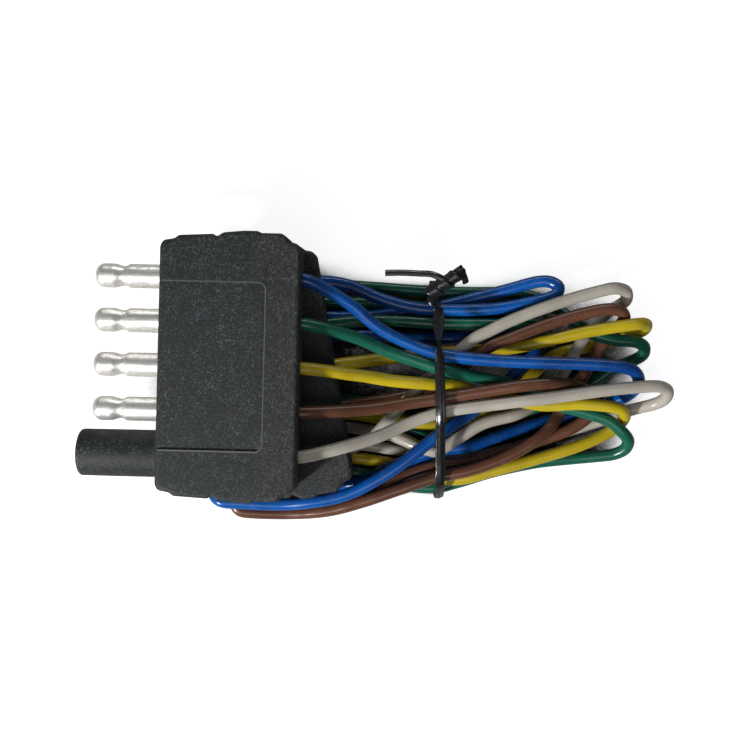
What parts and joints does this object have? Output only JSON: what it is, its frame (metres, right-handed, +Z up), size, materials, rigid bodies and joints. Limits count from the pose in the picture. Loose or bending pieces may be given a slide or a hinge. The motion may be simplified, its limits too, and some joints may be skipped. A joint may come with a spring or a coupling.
{
  "type": "trailer wiring connector",
  "caption": "Flat trailer wiring harness: two moulded plugs with bullet pins and shrouded sockets, joined by coloured wires folded into a hank and held with a twist tie.",
  "frame": {"origin": "on the rest plane, under the middle of the part's box", "axes": "+Z up from the rest plane; -X the way the upper plug's pins point; +Y across the plugs towards the blue wires"},
  "size_m": [0.1303, 0.0636, 0.0272],
  "materials": {
    "black_moulding": "matte black PVC moulding with a fine grained surface",
    "carrier_plastic": "hard dark plastic insert, hidden inside the moulding",
    "tinned_terminal": "tin-plated brass, bright but lightly rubbed",
    "copper_core": "bare stranded copper",
    "pvc_blue": "semi-gloss blue PVC insulation",
    "pvc_green": "semi-gloss green PVC insulation",
    "pvc_yellow": "semi-gloss yellow PVC insulation",
    "pvc_brown": "semi-gloss brown PVC insulation",
    "pvc_white": "semi-gloss white PVC insulation",
    "tie_plastic": "glossy black plastic ribbon",
    "tie_steel": "thin annealed steel wire inside the ribbon"
  },
  "bodies": {
    "hank": {"hank_wire_blue": "pvc_blue", "hank_wire_green": "pvc_green", "hank_wire_yellow": "pvc_yellow", "hank_wire_brown": "pvc_brown", "hank_wire_white": "pvc_white", "hank_core_blue": "copper_core", "hank_core_green": "copper_core", "hank_core_yellow": "copper_core", "hank_core_brown": "copper_core", "hank_core_white": "copper_core", "tie_ribbon": "tie_plastic", "tie_core": "tie_steel"},
    "lower_plug": {"lower_overmould": "black_moulding", "lower_carrier": "carrier_plastic", "lower_socket_blue": "tinned_terminal", "lower_socket_green": "tinned_terminal", "lower_socket_yellow": "tinned_terminal", "lower_socket_brown": "tinned_terminal", "lower_pin_white": "tinned_terminal", "lower_lead_blue": "pvc_blue", "lower_lead_green": "pvc_green", "lower_lead_yellow": "pvc_yellow", "lower_lead_brown": "pvc_brown", "lower_lead_white": "pvc_white", "lower_lead_cores": "copper_core"},
    "upper_plug": {"upper_overmould": "black_moulding", "upper_carrier": "carrier_plastic", "upper_pin_blue": "tinned_terminal", "upper_pin_green": "tinned_terminal", "upper_pin_yellow": "tinned_terminal", "upper_pin_brown": "tinned_terminal", "upper_socket_white": "tinned_terminal", "upper_lead_blue": "pvc_blue", "upper_lead_green": "pvc_green", "upper_lead_yellow": "pvc_yellow", "upper_lead_brown": "pvc_brown", "upper_lead_white": "pvc_white", "upper_lead_cores": "copper_core"}
  },
  "joints": [
    {"name": "lower_plug_flex", "type": "hinge", "parent": "hank", "child": "lower_plug", "pos_m": [-0.0052, 0.00345, 0.01921], "axis": [-0.1867, 0.9824, 0], "range_deg": [0, 20]},
    {"name": "upper_plug_flex", "type": "hinge", "parent": "lower_plug", "child": "upper_plug", "pos_m": [-0.0052, 0.00345, 0.01921], "axis": [-0.1867, 0.9824, 0], "range_deg": [0, 60]}
  ]
}
